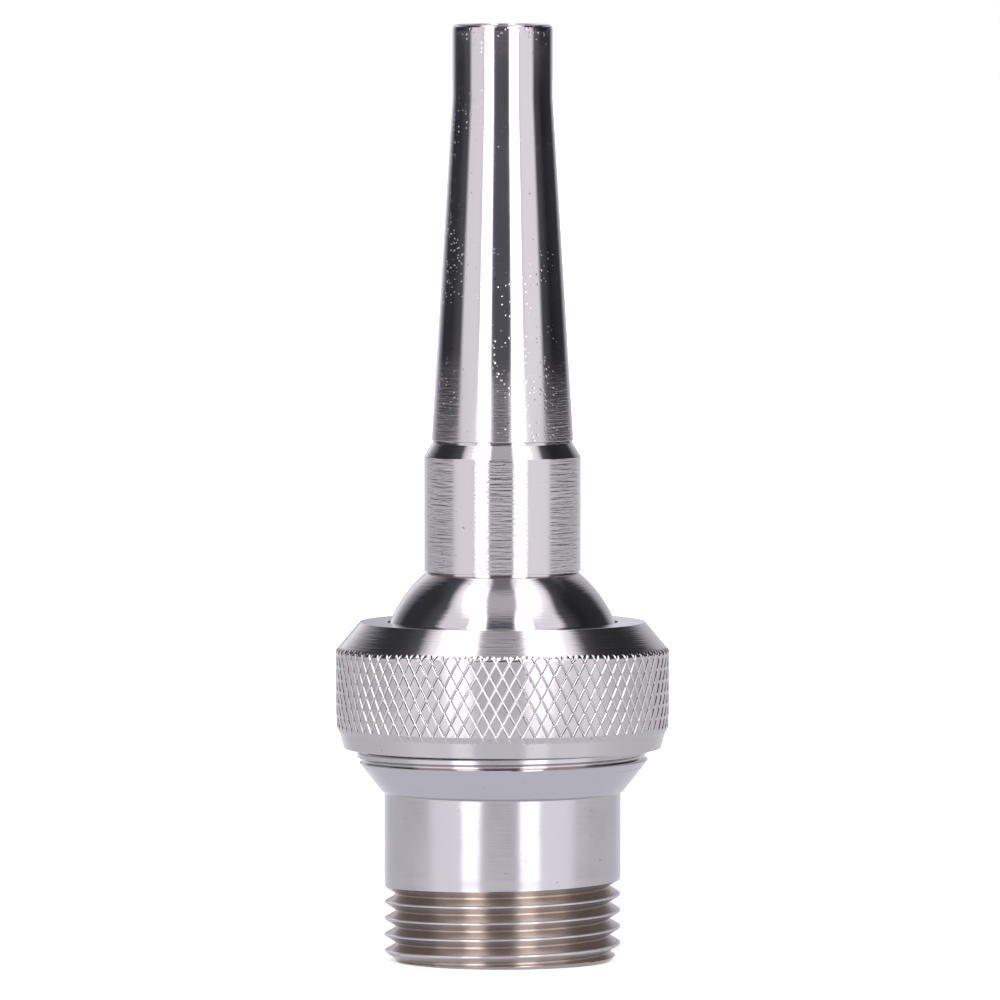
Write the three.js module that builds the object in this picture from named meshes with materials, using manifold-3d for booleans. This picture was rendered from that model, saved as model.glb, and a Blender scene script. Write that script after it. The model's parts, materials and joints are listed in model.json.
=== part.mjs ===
// Swivel-ball jet nozzle of turned stainless steel.
// A tapered jet spout screws into the hub of a ball. A knurled union nut clamps the ball on a seat
// ring in the inlet body, which screws on a pipe by its G 1 male thread.
// Millimetres, +Z up the axis of the straight nozzle, origin at the centre of the inlet end face.

import * as THREE from 'three';
import { mergeVertices } from 'three/addons/utils/BufferGeometryUtils.js';
import Module from 'manifold-3d';

// Round stretches and clearances
const ROUND_SEGMENTS = 32;
const BALL_GAP = 0.17; // between the ball and the rings that carry it
const RING_GAP = 0.12; // between a ring and its pocket
const FACE_GAP = 0.3; // between two faces that meet
const THREAD_GAP = 0.17; // square to the flanks of the nut's thread
const THREAD_SLACK = 0.15; // that a cutter for a thread reaches past the surface
const EDGE_BREAK = 0.3; // small chamfer on turned edges

// Inlet: G 1 pipe thread, 11 threads per inch
const INLET_THREAD_RADIUS = 33.249 / 2;
const INLET_THREAD_PITCH = 25.4 / 11;
const INLET_THREAD_DEPTH = 1.479;
const INLET_THREAD_LENGTH = 10.4;
const INLET_THREAD_CREST = 0.38; // flat on the crests and in the roots
const INLET_LEAD_IN = 1.5;
const INLET_WALL = 2.6; // under the root of the pipe thread

// Inlet body above the thread
const BARREL_PROUD = 0.03; // barrel beyond the crests of the pipe thread
const BARREL_HEIGHT = 23.7;
const CONE_HEIGHT = 3.9;
const CONE_STEP = 0.4; // small shoulder where the cone meets the barrel
const NUT_THREAD_PITCH = 1.5;
const NUT_THREAD_DEPTH = 0.92;
const NUT_THREAD_LENGTH = 8.9;
const NUT_THREAD_CREST = 0.2;
const THREAD_CHAMFER = 0.6;
const PILOT_DROP = 0.1; // plain rim of the body, below the root of the nut's thread
const THREAD_SHOWING = 2.45; // thread left in sight under the nut
const CAVITY_WALL = 2.19; // between the ball's cavity and the root of the nut's thread
const BODY_RIM_DROP = 1.3; // rim of the body below the middle of the ball
const LEDGE_RISE = 1.93; // ledge under the seat ring, above the barrel
const LEDGE_THICKNESS = 1.0;
const THROAT_GAP = 0.2; // bore under the seat ring, inside the ring's own bore

// Ball and hub
const BALL_RADIUS = 17.0;
const CAVITY_GAP = 0.35;
const SEAT_LATITUDE = 45; // degrees below the ball's middle where the seat touches
const HUB_LENGTH = 18.65; // from the ball to the top of the hub
const HUB_SHOULDER = 1.07; // hub beyond the foot of the spout
const HUB_CHAMFER_HEIGHT = 2.04;
const HUB_RIM = 0.1; // flat of the hub's top beyond the foot of the spout
const BORE_RELIEF = 2.0; // cone from the spigot's bore down to the straightener's shoulder
const BALL_BORE_RADIUS = 8.2;
const NECK_GROOVE = 0.35; // relief cut where the hub meets the ball

// Spout
const SPOUT_FOOT_RADIUS = 9.95;
const SPOUT_LENGTH = 58.4; // from the hub to the tip
const TIP_LENGTH = 10.4; // straight end of the spout
const JET_BORE_RADIUS = 5.0;
const TIP_WALL = 2.05;
const SPIGOT_LENGTH = 11.5;
const SPIGOT_SHOULDER = 0.95;
const SPIGOT_WALL = 2.0;
const SPIGOT_TAPER = 0.1; // spigot slimmer at the top than at the end

// Nut
const NUT_WALL = 2.99; // outside the nut's thread
const NUT_CHAMFER_WIDTH = 3.35;
const NUT_CHAMFER_HEIGHT = 4.0;
const NUT_FOOT_STEP = 0.5;
const NUT_FOOT_HEIGHT = 2.15;
const NUT_FOOT_TAPER = 0.6;
const LIP_LATITUDE = 21.5; // degrees above the ball's middle at the nut's top face
const LIP_GAP = 0.36;
const LIP_THICKNESS = 1.45;
const NUT_BORE_CREST = 0.06; // crests of the nut's thread beyond their gap
const NUT_CREST_FLAT = 0.35; // taken off the width of the nut's groove at its mouth
const NUT_RELIEF = 0.1; // relief above the nut's thread, beyond its root
const NUT_RELIEF_RISE = 0.4; // above the body's thread

// Rings
const SEAT_RING_WIDTH = 4.7;
const SEAT_RING_HEIGHT = 5.3;
const SEAT_INSIDE = 0.3; // share of the seat ring's width inside the line of touch, and of its height above
const SLIP_RING_WIDTH = 2.0;
const SLIP_RING_HEIGHT = 3.5;
const O_RING_CORD = 1.78;
const O_RING_ROOM = 1.96; // gland for the cord
const O_RING_LIFT = 0.04; // of the seat's ring above its ledge

// Straightener
const VANE_LENGTH = 18;
const VANE_THICKNESS = 1.0;
const VANE_GAP = 0.12;
const CLIP_THICKNESS = 1.0;
const CLIP_DEPTH = 1.6; // of the clip in the mouth of the ball's bore
const CLIP_GROOVE_DEPTH = 0.6;
const CLIP_WIDTH = 1.5;
const CLIP_OPENING = 40; // degrees of the ring that are open

// The seat ring stands on a ledge in the body and touches the ball at the seat's latitude, which
// sets the height of the ball.
const seatAngle = THREE.MathUtils.degToRad(SEAT_LATITUDE);
const seatTouchRadius = (BALL_RADIUS + BALL_GAP) * Math.cos(seatAngle);
const seatOuterRadius = seatTouchRadius + SEAT_RING_WIDTH * (1 - SEAT_INSIDE);
const seatInnerRadius = seatTouchRadius - SEAT_RING_WIDTH * SEAT_INSIDE;
const ledgeZ = BARREL_HEIGHT + LEDGE_RISE;
const seatFootZ = ledgeZ + RING_GAP;
const seatTopZ = seatFootZ + SEAT_RING_HEIGHT;
const seatTouchZ = seatTopZ - SEAT_RING_HEIGHT * SEAT_INSIDE;
const ballZ = seatTouchZ + (BALL_RADIUS + BALL_GAP) * Math.sin(seatAngle);
const throatRadius = seatInnerRadius - THROAT_GAP;

// Inlet body and nut
const inletRootRadius = INLET_THREAD_RADIUS - INLET_THREAD_DEPTH;
const inletBoreRadius = inletRootRadius - INLET_WALL;
const barrelRadius = INLET_THREAD_RADIUS + BARREL_PROUD;
const coneTopZ = BARREL_HEIGHT + CONE_HEIGHT;
const nutFootZ = coneTopZ + THREAD_SHOWING;
const cavityRadius = BALL_RADIUS + CAVITY_GAP;
const nutThreadRoot = cavityRadius + CAVITY_WALL;
const nutThreadRadius = nutThreadRoot + NUT_THREAD_DEPTH;
const nutThreadStartZ = coneTopZ - NUT_THREAD_PITCH * 0.1;
const bodyRimZ = ballZ - BODY_RIM_DROP;
const nutThreadTopZ = coneTopZ + NUT_THREAD_LENGTH;
const pilotRadius = nutThreadRoot - PILOT_DROP;
const nutRadius = nutThreadRadius + NUT_WALL;
const nutTopZ = ballZ + BALL_RADIUS * Math.sin(THREE.MathUtils.degToRad(LIP_LATITUDE));

// Hub and spout
const hubRadius = SPOUT_FOOT_RADIUS + HUB_SHOULDER;
const hubFootZ = ballZ + Math.sqrt(BALL_RADIUS ** 2 - hubRadius ** 2);
const hubTopZ = hubFootZ + HUB_LENGTH;
const spigotRadius = SPOUT_FOOT_RADIUS - SPIGOT_SHOULDER;
const spigotBore = spigotRadius - SPIGOT_WALL;
const tipRadius = JET_BORE_RADIUS + TIP_WALL;
const tipZ = hubTopZ + FACE_GAP + SPOUT_LENGTH;
const spigotEndZ = hubTopZ - SPIGOT_LENGTH;
const spoutSealZ = spigotEndZ - O_RING_ROOM;

// The bore of the ball takes the straightener between a shoulder and a snap ring.
const ballMouthRadius = BALL_BORE_RADIUS + EDGE_BREAK;
const ballMouthZ = ballZ - Math.sqrt(BALL_RADIUS ** 2 - ballMouthRadius ** 2);
const clipFootZ = ballMouthZ + CLIP_DEPTH;
const clipTopZ = clipFootZ + CLIP_THICKNESS;
const vaneFootZ = clipTopZ + FACE_GAP;
const vaneTopZ = vaneFootZ + VANE_LENGTH;
const boreShoulderZ = vaneTopZ + FACE_GAP;

const wasm = await Module();
wasm.setup();

function steel(color, roughness) {
  return new THREE.MeshStandardMaterial({ color, roughness, metalness: 1 });
}

function soft(color, roughness) {
  return new THREE.MeshStandardMaterial({ color, roughness, metalness: 0 });
}

// A ring or solid of revolution about Z. Points are [radius, height], anticlockwise round the section.
function turned(points) {
  const profile = points.map(([radius, height]) => new THREE.Vector2(Math.max(radius, 0), height));
  profile.push(profile[0].clone());
  const geometry = new THREE.LatheGeometry(profile, ROUND_SEGMENTS);
  geometry.rotateX(Math.PI / 2);
  return geometry;
}

// Points of an arc from one angle to another, in degrees from the radial direction.
function arc(radius, centreRadius, centreZ, from, to, steps) {
  const points = [];
  for (let i = 0; i <= steps; i += 1) {
    const angle = THREE.MathUtils.degToRad(from + ((to - from) * i) / steps);
    points.push([centreRadius + radius * Math.cos(angle), centreZ + radius * Math.sin(angle)]);
  }
  return points;
}

// A right-hand helix whose section frame stays square to the axis. Over the last quarter turn it
// moves away by runOut, as a cutting tool does at the end of a thread.
class ThreadPath extends THREE.Curve {
  constructor(radius, pitch, startZ, turns, runOut) {
    super();
    this.radius = radius;
    this.pitch = pitch;
    this.startZ = startZ;
    this.turns = turns;
    this.runOut = runOut;
  }

  getPoint(t, target = new THREE.Vector3()) {
    const angle = t * this.turns * 2 * Math.PI;
    const leaving = Math.max(0, 1 - (1 - t) * this.turns * 4);
    const radius = this.radius + leaving * this.runOut;
    return target.set(
      radius * Math.cos(angle),
      radius * Math.sin(angle),
      this.startZ + t * this.turns * this.pitch,
    );
  }

  getPointAt(t, target) {
    return this.getPoint(t, target);
  }

  computeFrenetFrames(segments) {
    const frames = { tangents: [], normals: [], binormals: [] };
    for (let i = 0; i <= segments; i += 1) {
      const angle = (i / segments) * this.turns * 2 * Math.PI;
      frames.tangents.push(new THREE.Vector3(-Math.sin(angle), Math.cos(angle), 0));
      frames.normals.push(new THREE.Vector3(Math.cos(angle), Math.sin(angle), 0));
      frames.binormals.push(new THREE.Vector3(0, 0, -1));
    }
    return frames;
  }
}

// A trapezoid swept along a thread. Widths are along the axis, at the inner and the outer radius.
function threadSweep({ inner, outer, innerWidth, outerWidth, pitch, startZ, turns, runOut = 0 }) {
  const section = new THREE.Shape([
    new THREE.Vector2(0, -innerWidth / 2),
    new THREE.Vector2(outer - inner, -outerWidth / 2),
    new THREE.Vector2(outer - inner, outerWidth / 2),
    new THREE.Vector2(0, innerWidth / 2),
  ]);
  const steps = Math.ceil(turns * ROUND_SEGMENTS);
  return new THREE.ExtrudeGeometry(section, {
    steps,
    bevelEnabled: false,
    extrudePath: new ThreadPath(inner, pitch, startZ, steps / ROUND_SEGMENTS, runOut),
  });
}

function toSolid(geometry) {
  const bare = geometry.clone();
  bare.deleteAttribute('normal');
  bare.deleteAttribute('uv');
  const merged = mergeVertices(bare, 1e-4);
  return new wasm.Manifold(
    new wasm.Mesh({
      numProp: 3,
      vertProperties: new Float32Array(merged.attributes.position.array),
      triVerts: new Uint32Array(merged.index.array),
    }),
  );
}

function toGeometry(solid) {
  const mesh = solid.getMesh();
  const geometry = new THREE.BufferGeometry();
  geometry.setAttribute('position', new THREE.BufferAttribute(mesh.vertProperties, 3));
  geometry.setIndex(new THREE.BufferAttribute(mesh.triVerts, 1));
  geometry.computeVertexNormals();
  return geometry;
}

function cut(geometry, ...tools) {
  const left = tools.reduce((solid, tool) => solid.subtract(toSolid(tool)), toSolid(geometry));
  return toGeometry(left);
}

const nozzle = new THREE.Group();

function addPiece(name, geometry, material) {
  const mesh = new THREE.Mesh(geometry, material);
  mesh.name = name;
  nozzle.add(mesh);
}

// The groove of a male thread, cut from the crests down to the root.
function maleGroove({ radius, depth, pitch, crest, startZ, turns }) {
  const flare = (pitch - 2 * crest) / depth;
  return threadSweep({
    inner: radius - depth,
    outer: radius + THREAD_SLACK,
    innerWidth: crest,
    outerWidth: pitch - crest + THREAD_SLACK * flare,
    pitch,
    startZ,
    turns,
    runOut: depth + THREAD_SLACK,
  });
}

// Inlet body: pipe thread, barrel, cone, nut's thread, and the stepped bore that holds the seat.
function inletBody() {
  const throatFootZ = ledgeZ - LEDGE_THICKNESS;
  const blank = turned([
    [inletBoreRadius, 0],
    [INLET_THREAD_RADIUS - INLET_LEAD_IN, 0],
    [INLET_THREAD_RADIUS, INLET_LEAD_IN],
    [INLET_THREAD_RADIUS, INLET_THREAD_LENGTH],
    [barrelRadius, INLET_THREAD_LENGTH + BARREL_PROUD],
    [barrelRadius, BARREL_HEIGHT],
    [barrelRadius + CONE_STEP, BARREL_HEIGHT + CONE_STEP * 0.8],
    [nutThreadRadius - NUT_THREAD_DEPTH * 0.6, coneTopZ],
    [nutThreadRadius, coneTopZ],
    [nutThreadRadius, nutThreadTopZ - THREAD_CHAMFER],
    [pilotRadius, nutThreadTopZ],
    [pilotRadius, bodyRimZ - EDGE_BREAK],
    [pilotRadius - EDGE_BREAK, bodyRimZ],
    [cavityRadius, bodyRimZ],
    [cavityRadius, seatTopZ],
    [seatOuterRadius + RING_GAP, seatTopZ],
    [seatOuterRadius + RING_GAP, ledgeZ],
    [throatRadius, ledgeZ],
    [throatRadius, throatFootZ],
    [inletBoreRadius, throatFootZ - Math.abs(inletBoreRadius - throatRadius) - LEDGE_THICKNESS],
  ]);
  const pipeGroove = maleGroove({
    radius: INLET_THREAD_RADIUS,
    depth: INLET_THREAD_DEPTH,
    pitch: INLET_THREAD_PITCH,
    crest: INLET_THREAD_CREST,
    startZ: -INLET_THREAD_PITCH / 2,
    turns: INLET_THREAD_LENGTH / INLET_THREAD_PITCH,
  });
  const nutGroove = maleGroove({
    radius: nutThreadRadius,
    depth: NUT_THREAD_DEPTH,
    pitch: NUT_THREAD_PITCH,
    crest: NUT_THREAD_CREST,
    startZ: nutThreadStartZ,
    turns: NUT_THREAD_LENGTH / NUT_THREAD_PITCH + 1,
  });
  return cut(blank, pipeGroove, nutGroove);
}

// Union nut: female thread, pocket for the slip ring, lip round the ball.
const slipOuterRadius = BALL_RADIUS + SLIP_RING_WIDTH;
const slipTopZ = nutTopZ - LIP_THICKNESS - RING_GAP;
const slipFootZ = slipTopZ - SLIP_RING_HEIGHT;
const nutReliefZ = nutThreadTopZ + NUT_RELIEF_RISE;

function ballRadiusAt(height, gap) {
  return Math.sqrt((BALL_RADIUS + gap) ** 2 - (height - ballZ) ** 2);
}

function knurledNut() {
  const flankGap = THREAD_GAP / Math.cos(Math.PI / 6);
  const boreRadius = nutThreadRoot + THREAD_GAP + NUT_BORE_CREST;
  const reliefRadius = nutThreadRadius + THREAD_GAP + NUT_RELIEF;
  const pocketRadius = slipOuterRadius + RING_GAP;
  const lipRadius = ballRadiusAt(nutTopZ, LIP_GAP);
  const lipFootZ = nutTopZ - LIP_THICKNESS;
  const blank = turned([
    [nutThreadRadius + EDGE_BREAK, nutFootZ],
    [nutRadius - NUT_FOOT_STEP - NUT_FOOT_TAPER, nutFootZ],
    [nutRadius - NUT_FOOT_STEP, nutFootZ + NUT_FOOT_HEIGHT],
    [nutRadius, nutFootZ + NUT_FOOT_HEIGHT + NUT_FOOT_STEP * 1.6],
    [nutRadius, nutTopZ - NUT_CHAMFER_HEIGHT],
    [nutRadius - NUT_CHAMFER_WIDTH, nutTopZ],
    [lipRadius, nutTopZ],
    [lipRadius, nutTopZ - LIP_THICKNESS * 0.4],
    [ballRadiusAt(lipFootZ, LIP_GAP), lipFootZ],
    [pocketRadius, lipFootZ],
    [pocketRadius, slipFootZ - RING_GAP],
    [reliefRadius, slipFootZ - RING_GAP - (reliefRadius - pocketRadius) * 0.6],
    [reliefRadius, nutReliefZ],
    [boreRadius, nutReliefZ - (reliefRadius - boreRadius) * 0.6],
    [boreRadius, nutFootZ + nutThreadRadius + EDGE_BREAK - boreRadius],
  ]);
  const ridge = threadSweep({
    inner: boreRadius - THREAD_SLACK,
    outer: nutThreadRadius + THREAD_GAP,
    innerWidth: NUT_THREAD_PITCH - NUT_THREAD_CREST + 2 * flankGap - NUT_CREST_FLAT,
    outerWidth: NUT_THREAD_CREST + 2 * flankGap,
    pitch: NUT_THREAD_PITCH,
    startZ: nutThreadStartZ + NUT_THREAD_PITCH / 2,
    turns: Math.ceil((nutReliefZ - nutThreadStartZ) / NUT_THREAD_PITCH),
  });
  return cut(blank, ridge);
}

// Ball and hub in one piece, with the straightener's bore and the spigot's socket.
function swivelBall() {
  const hubFoot = THREE.MathUtils.radToDeg(Math.asin(hubRadius / BALL_RADIUS));
  const mouth = THREE.MathUtils.radToDeg(Math.asin(ballMouthRadius / BALL_RADIUS));
  const socketRadius = spigotRadius + RING_GAP;
  const grooveRadius = BALL_BORE_RADIUS + CLIP_GROOVE_DEPTH;
  return turned([
    ...arc(BALL_RADIUS, 0, ballZ, mouth - 90, 90 - hubFoot, 16),
    [hubRadius - NECK_GROOVE, hubFootZ + NECK_GROOVE * 0.5],
    [hubRadius - NECK_GROOVE, hubFootZ + NECK_GROOVE],
    [hubRadius, hubFootZ + NECK_GROOVE * 2],
    [hubRadius, hubTopZ - HUB_CHAMFER_HEIGHT],
    [SPOUT_FOOT_RADIUS + HUB_RIM, hubTopZ],
    [socketRadius, hubTopZ],
    [socketRadius, spoutSealZ],
    [spigotBore, spoutSealZ],
    [spigotBore, boreShoulderZ + BORE_RELIEF],
    [BALL_BORE_RADIUS - EDGE_BREAK * 2, boreShoulderZ],
    [BALL_BORE_RADIUS, boreShoulderZ],
    [BALL_BORE_RADIUS, clipTopZ + RING_GAP],
    [grooveRadius, clipTopZ + RING_GAP],
    [grooveRadius, clipFootZ - RING_GAP],
    [BALL_BORE_RADIUS, clipFootZ - RING_GAP],
    [BALL_BORE_RADIUS, ballMouthZ + EDGE_BREAK],
  ]);
}

function jetSpout() {
  const footZ = hubTopZ + FACE_GAP;
  return turned([
    [spigotBore, spigotEndZ],
    [spigotRadius - EDGE_BREAK, spigotEndZ],
    [spigotRadius, spigotEndZ + EDGE_BREAK],
    [spigotRadius - SPIGOT_TAPER, footZ],
    [SPOUT_FOOT_RADIUS, footZ],
    [tipRadius, tipZ - TIP_LENGTH],
    [tipRadius, tipZ - EDGE_BREAK],
    [tipRadius - EDGE_BREAK, tipZ],
    [JET_BORE_RADIUS + EDGE_BREAK * 0.5, tipZ],
    [JET_BORE_RADIUS, tipZ - EDGE_BREAK * 0.5],
    [JET_BORE_RADIUS, tipZ - TIP_LENGTH],
    [spigotBore, footZ],
  ]);
}

function ballSeatRing() {
  const rebateRadius = seatOuterRadius - O_RING_ROOM;
  const innerTouch = THREE.MathUtils.radToDeg(Math.acos(seatInnerRadius / (BALL_RADIUS + BALL_GAP)));
  const outerTouch = THREE.MathUtils.radToDeg(Math.asin((ballZ - seatTopZ) / (BALL_RADIUS + BALL_GAP)));
  return turned([
    [seatInnerRadius, seatFootZ],
    [rebateRadius, seatFootZ],
    [rebateRadius, seatFootZ + O_RING_ROOM],
    [seatOuterRadius, seatFootZ + O_RING_ROOM],
    [seatOuterRadius, seatTopZ],
    ...arc(BALL_RADIUS + BALL_GAP, 0, ballZ, -outerTouch, -innerTouch, 4),
  ]);
}

function upperSlipRing() {
  const ballAngle = (height) =>
    THREE.MathUtils.radToDeg(Math.asin((height - ballZ) / (BALL_RADIUS + BALL_GAP)));
  return turned([
    [slipOuterRadius, slipFootZ],
    [slipOuterRadius, slipTopZ],
    ...arc(BALL_RADIUS + BALL_GAP, 0, ballZ, ballAngle(slipTopZ), ballAngle(slipFootZ), 4),
  ]);
}

function oRing(middleRadius, middleZ) {
  return turned(arc(O_RING_CORD / 2, middleRadius, middleZ, -90, 225, 7));
}

// One plate of the cross, with a slot over half its length for the other plate.
function straightenerVane(slotAtTop) {
  const half = BALL_BORE_RADIUS - VANE_GAP * 2;
  const slotHalf = VANE_THICKNESS / 2 + VANE_GAP;
  const slotEnd = VANE_LENGTH / 2 + (slotAtTop ? -VANE_GAP : VANE_GAP);
  const outline = [
    [-half, 0],
    [half, 0],
    [half, VANE_LENGTH],
    [-half, VANE_LENGTH],
  ];
  const slot = [
    [slotHalf, slotAtTop ? VANE_LENGTH : 0],
    [slotHalf, slotEnd],
    [-slotHalf, slotEnd],
    [-slotHalf, slotAtTop ? VANE_LENGTH : 0],
  ];
  const points = slotAtTop
    ? [...outline.slice(0, 3), ...slot, outline[3]]
    : [outline[0], ...slot.reverse(), ...outline.slice(1)];
  const shape = new THREE.Shape(points.map(([x, y]) => new THREE.Vector2(x, y)));
  const geometry = new THREE.ExtrudeGeometry(shape, { depth: VANE_THICKNESS, bevelEnabled: false });
  geometry.translate(0, 0, -VANE_THICKNESS / 2);
  geometry.rotateX(Math.PI / 2);
  geometry.translate(0, 0, vaneFootZ);
  return geometry;
}

function straightenerClip() {
  const outer = BALL_BORE_RADIUS + CLIP_GROOVE_DEPTH - RING_GAP;
  const halfOpening = THREE.MathUtils.degToRad(CLIP_OPENING / 2);
  const shape = new THREE.Shape();
  shape.absarc(0, 0, outer, halfOpening, 2 * Math.PI - halfOpening, false);
  shape.absarc(0, 0, outer - CLIP_WIDTH, 2 * Math.PI - halfOpening, halfOpening, true);
  shape.closePath();
  const geometry = new THREE.ExtrudeGeometry(shape, {
    depth: CLIP_THICKNESS,
    curveSegments: ROUND_SEGMENTS / 2,
    bevelEnabled: false,
  });
  geometry.translate(0, 0, clipFootZ);
  return geometry;
}

addPiece('inlet_body', inletBody(), steel(0xb9b7bb, 0.3));
addPiece('knurled_nut', knurledNut(), steel(0xc2c0c4, 0.22));
addPiece('swivel_ball', swivelBall(), steel(0xc4c2c6, 0.2));
addPiece('jet_spout', jetSpout(), steel(0xc8c6ca, 0.1));
addPiece('ball_seat_ring', ballSeatRing(), soft(0xf2f0ea, 0.5));
addPiece('upper_slip_ring', upperSlipRing(), soft(0xf2f0ea, 0.5));
addPiece(
  'seat_o_ring',
  oRing(seatOuterRadius + RING_GAP - O_RING_ROOM / 2, ledgeZ + O_RING_ROOM / 2 + O_RING_LIFT),
  soft(0x1c1c1e, 0.7),
);
addPiece(
  'spout_o_ring',
  oRing(spigotRadius - O_RING_ROOM / 2 + RING_GAP, spoutSealZ + O_RING_ROOM / 2),
  soft(0x1c1c1e, 0.7),
);
addPiece('straightener_vane_a', straightenerVane(true), steel(0xbab8bc, 0.4));
const secondVane = straightenerVane(false);
secondVane.rotateZ(Math.PI / 2);
addPiece('straightener_vane_b', secondVane, steel(0xbab8bc, 0.4));
addPiece('straightener_clip', straightenerClip(), steel(0xa8a6a8, 0.4));

export default nozzle;
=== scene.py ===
"""Swivel-ball jet nozzle of turned stainless steel, in a plain white studio.

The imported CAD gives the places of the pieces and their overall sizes. This script turns them again
with the fine surface of the real ones: knurl, threads, broken edges, tool marks and polish.
"""

import json
import math
import random

import bmesh
import bpy
from mathutils import Matrix, Vector


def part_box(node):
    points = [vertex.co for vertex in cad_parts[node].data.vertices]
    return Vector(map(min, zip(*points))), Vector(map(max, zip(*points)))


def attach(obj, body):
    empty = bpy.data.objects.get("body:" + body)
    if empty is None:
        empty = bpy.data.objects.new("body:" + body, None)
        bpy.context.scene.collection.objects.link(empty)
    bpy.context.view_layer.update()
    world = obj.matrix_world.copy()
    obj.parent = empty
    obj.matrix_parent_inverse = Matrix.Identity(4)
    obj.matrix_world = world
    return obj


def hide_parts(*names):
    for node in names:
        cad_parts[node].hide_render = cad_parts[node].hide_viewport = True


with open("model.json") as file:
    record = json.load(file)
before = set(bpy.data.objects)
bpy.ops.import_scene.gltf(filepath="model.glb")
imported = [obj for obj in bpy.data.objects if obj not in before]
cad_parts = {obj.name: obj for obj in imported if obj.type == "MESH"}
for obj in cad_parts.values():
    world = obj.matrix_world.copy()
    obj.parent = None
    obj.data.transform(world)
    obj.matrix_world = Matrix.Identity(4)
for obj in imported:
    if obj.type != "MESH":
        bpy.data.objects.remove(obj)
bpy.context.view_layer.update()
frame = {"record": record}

MM = 0.001
COLUMNS = 288  # round a turned piece
TAU = 2 * math.pi


def low_high(node):
    """Lowest and highest corner of a CAD node, in millimetres."""
    low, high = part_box(node)
    return Vector(low) / MM, Vector(high) / MM


body_low, body_high = low_high("inlet_body")
nut_low, nut_high = low_high("knurled_nut")
ball_low, ball_high = low_high("swivel_ball")
spout_low, spout_high = low_high("jet_spout")
seat_low, seat_high = low_high("ball_seat_ring")
slip_low, slip_high = low_high("upper_slip_ring")
spout_seal_low, _ = low_high("spout_o_ring")
vane_low, vane_high = low_high("straightener_vane_a")
clip_low, clip_high = low_high("straightener_clip")

# All the values below are in millimetres, unless their comment says otherwise.

# Ball, hub and spout
tilt = next(joint for joint in frame["record"]["behaviour"]["joints"] if joint["name"] == "swivel_tilt")
BALL_Z = tilt["pos_m"][2] / MM
BALL_RADIUS = ball_high.y
BALL_BORE = vane_high.x + 0.24  # leaves room beside the vanes
MOUTH_CHAMFER = 0.3
HUB_RADIUS = 11.02
HUB_TOP = ball_high.z
HUB_CHAMFER = 2.04  # its height
HUB_GROOVE = (0.22, 0.3)  # depth and height of the groove between ball and hub
SPOUT_FOOT = HUB_TOP + 0.25
SPOUT_FOOT_RADIUS = spout_high.y
NECK_HEIGHT = 0.4  # plain neck between the hub's chamfer and the spout's foot
NECK_SET_BACK = 0.1  # of the neck behind the spout's foot
NECK_GAP = 0.02  # between the neck and the spout's foot
SOCKET_RADIUS = 9.12
SPIGOT_RADIUS = 8.9
SPIGOT_BORE = 7.0
SEAL_LIFT = 0.09  # O-ring above the floor of the socket
STRAIGHTENER_STOP = (0.3, 0.6)  # gap above the vanes, and width of the shoulder that stops them
FUNNEL_HEIGHT = 2  # from the shoulder to the spigot's bore
TIP_Z = spout_high.z
TIP_RADIUS = 7.05
TIP_LENGTH = 10.4
JET_BORE = 5.0

# Nut
NUT_RADIUS = nut_high.y
NUT_TOP = nut_high.z
NUT_FOOT = nut_low.z
NUT_CHAMFER = (3.35, 4.0)  # width, height
LIP_RADIUS = 16.2
LIP_FACE = (0.5, 0.58)  # width and height of the flare round the ball
FOOT_RISE = 2.15  # plain foot of the nut, under the knurl
FOOT_STEP = 0.85  # height of the short cone from the foot to the knurl
SET_BACKS = (1.1, 0.55, 0.1)  # of the foot's lower end, the cone's foot and the cone's top
KNURL_SWELL = 3  # height over which the knurl comes out to the full radius
KNURL_FOOT = 1.9  # lower end of the knurl above the nut's foot
KNURL_ON_CHAMFER = 0.75  # how far the knurl runs up the chamfer
KNURL_COUNT = 80  # grooves each way round the nut
KNURL_RISE = 3.44  # height of one diamond
KNURL_CUT = 0.135  # half width of a groove, as a share of the spacing
KNURL_DEPTHS = (0.14, 0.12)  # of the grooves that lean left and of those that lean right
KNURL_HOLLOW = 1.6  # 1 is a sharp V, 2 is a round hollow
KNURL_RUN_OUT = (1.1, 0.5)  # height over which the grooves run out, at the foot and at the chamfer
KNURL_EDGE = 0.15  # plain rim beyond the run-out
KNURL_ROW = 0.12  # height of the finer rows in the run-outs
BRIDGE = 0.1  # height of the strips that join the knurl to the rest

# Fine thread between nut and inlet body
NUT_THREAD_RADIUS = body_high.y
NUT_THREAD_PITCH = 1.5
NUT_THREAD_DEPTH = 0.75
NUT_THREAD_START = 28.27 - NUT_THREAD_PITCH  # a crest at +X, so that a groove shows under the nut
NUT_THREAD_TOP = 36.5
NUT_THREAD_FOOT = 2.6  # above the top of the barrel
NUT_THREAD_LEAD_IN = (0.6, 1.6)  # height of the chamfer at its start, and width over height
MALE_FLATS = (0.12, 0.43)  # of root and crest, as shares of the pitch
FEMALE_FLATS = (0.1, 0.46)
FEMALE_DEPTH = 0.86
FEMALE_GAP = 0.06  # between the female crest and the male root
FEMALE_TOP = 0.3  # how far the female thread runs past the male one
RELIEF = (0.27, 0.6)  # depth of the relief above the thread, and height of the cones at its ends
NUT_MOUTH = (0.35, 1.1)  # width and height of the chamfer where the nut goes on

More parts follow.
